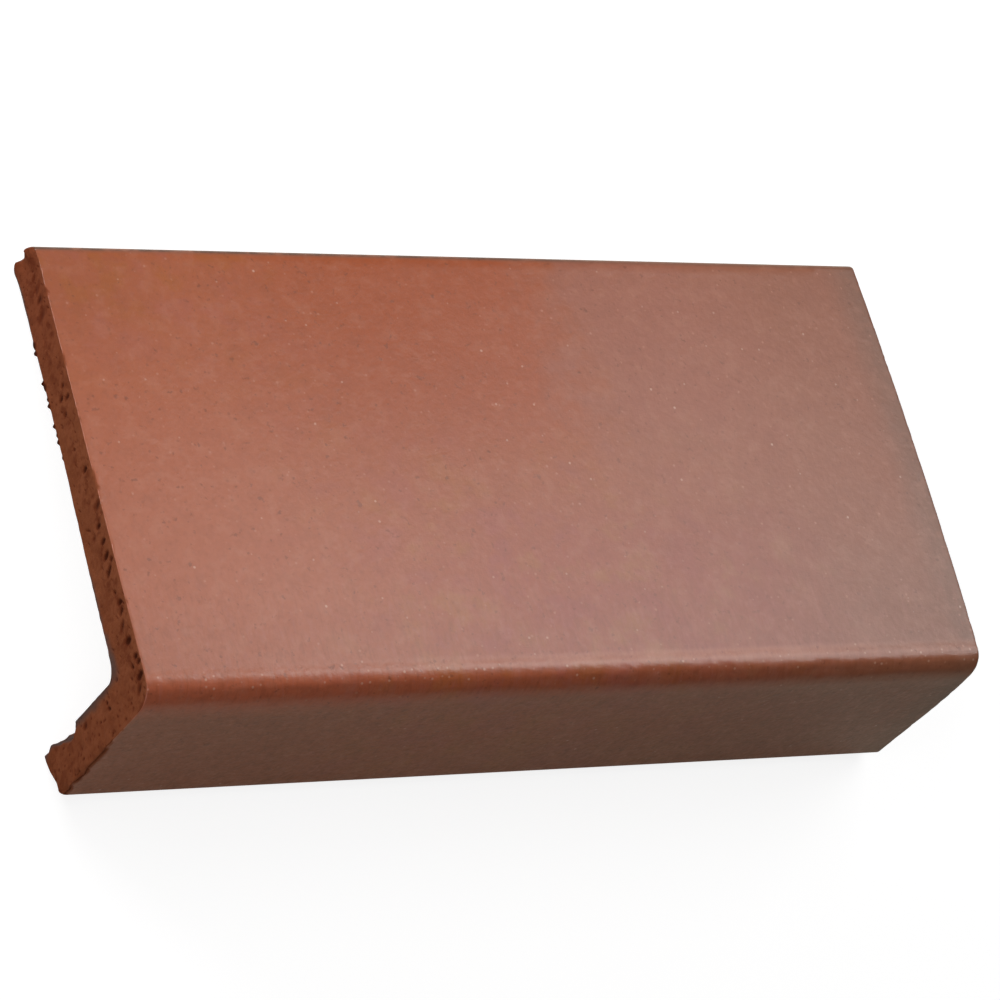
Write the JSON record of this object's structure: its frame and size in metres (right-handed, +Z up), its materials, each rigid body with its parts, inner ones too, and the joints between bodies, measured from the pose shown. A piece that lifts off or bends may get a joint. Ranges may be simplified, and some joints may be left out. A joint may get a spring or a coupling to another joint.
{
  "type": "clinker stair tread",
  "caption": "Fired clinker stair tread: an L section with a flat walking face, a rounded nose, a short front apron and plain inner faces that are bedded on a step.",
  "frame": {"origin": "middle of the footprint on the floor, as the tread lies unheld on its inner foot edge and lower back edge", "axes": "+X along the step, +Y from the apron to the back edge, +Z up from the floor"},
  "size_m": [0.24, 0.128, 0.0512],
  "materials": {
    "clinker": "satin"
  },
  "bodies": {
    "root": {"stair_tread": "clinker"}
  },
  "joints": []
}
